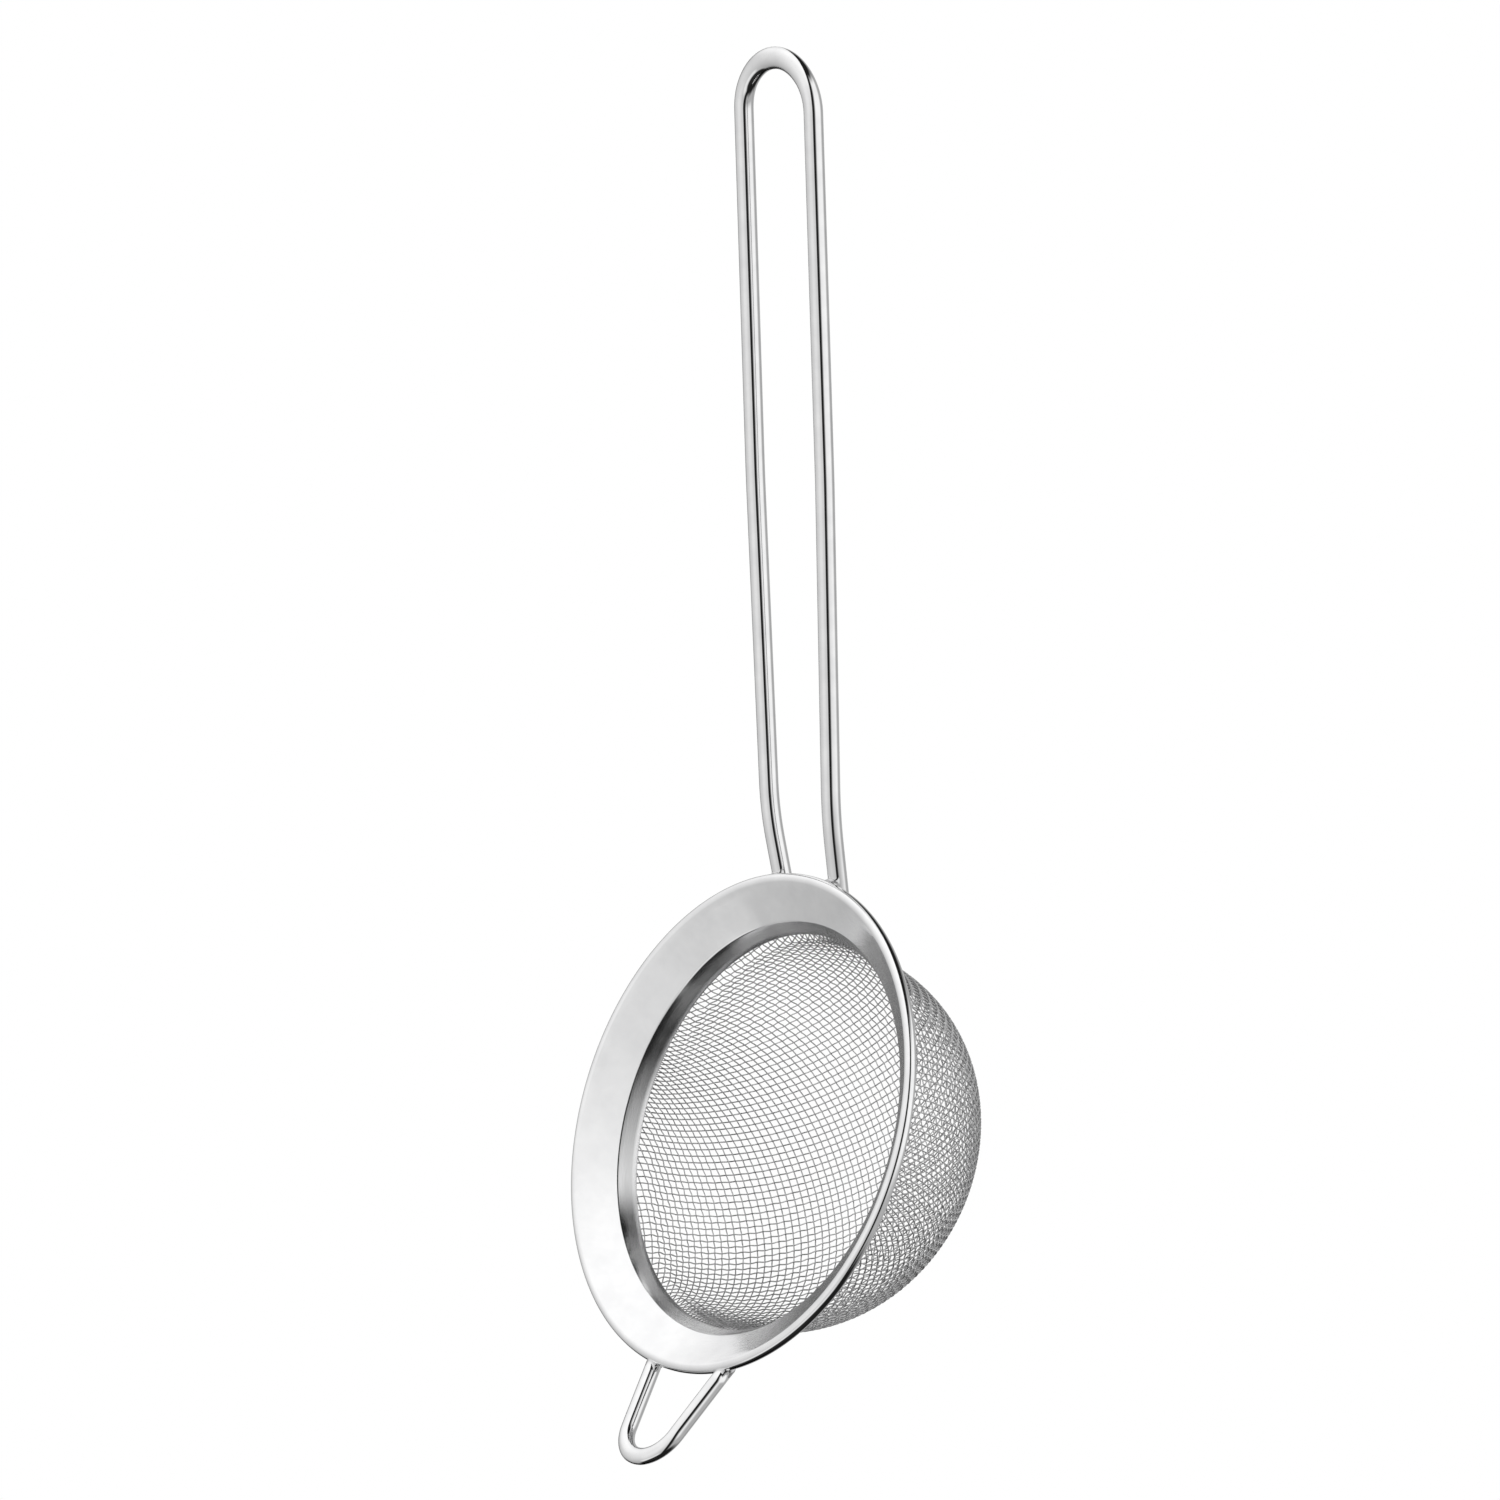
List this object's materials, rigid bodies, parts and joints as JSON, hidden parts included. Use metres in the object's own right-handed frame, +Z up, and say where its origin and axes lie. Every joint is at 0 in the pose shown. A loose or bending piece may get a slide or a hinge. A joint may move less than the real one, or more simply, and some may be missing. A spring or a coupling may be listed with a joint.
{
  "type": "tea strainer",
  "caption": "Round wire-mesh tea strainer: woven bowl in a rolled steel rim, with a long looped rod handle and a short rest loop opposite.",
  "frame": {"origin": "centre of the rim, level with the middle of its rolled bead", "axes": "+Z up out of the bowl, square to the rim; +Y from the rim's centre towards the handle; +X to the right of the handle"},
  "size_m": [0.0794, 0.2164, 0.0799],
  "materials": {
    "rim_steel": "satin flange, polished bead",
    "mesh_steel": "bright drawn wire",
    "weld_steel": "polished over",
    "rod_steel": "mirror polished"
  },
  "bodies": {
    "root": {"rim": "rim_steel", "mesh_bowl": "mesh_steel", "mesh_spot_welds": "weld_steel", "handle_rod": "rod_steel", "handle_weld_left": "weld_steel", "handle_weld_right": "weld_steel", "rest_loop": "rod_steel", "rest_weld_left": "weld_steel", "rest_weld_right": "weld_steel"}
  },
  "joints": []
}
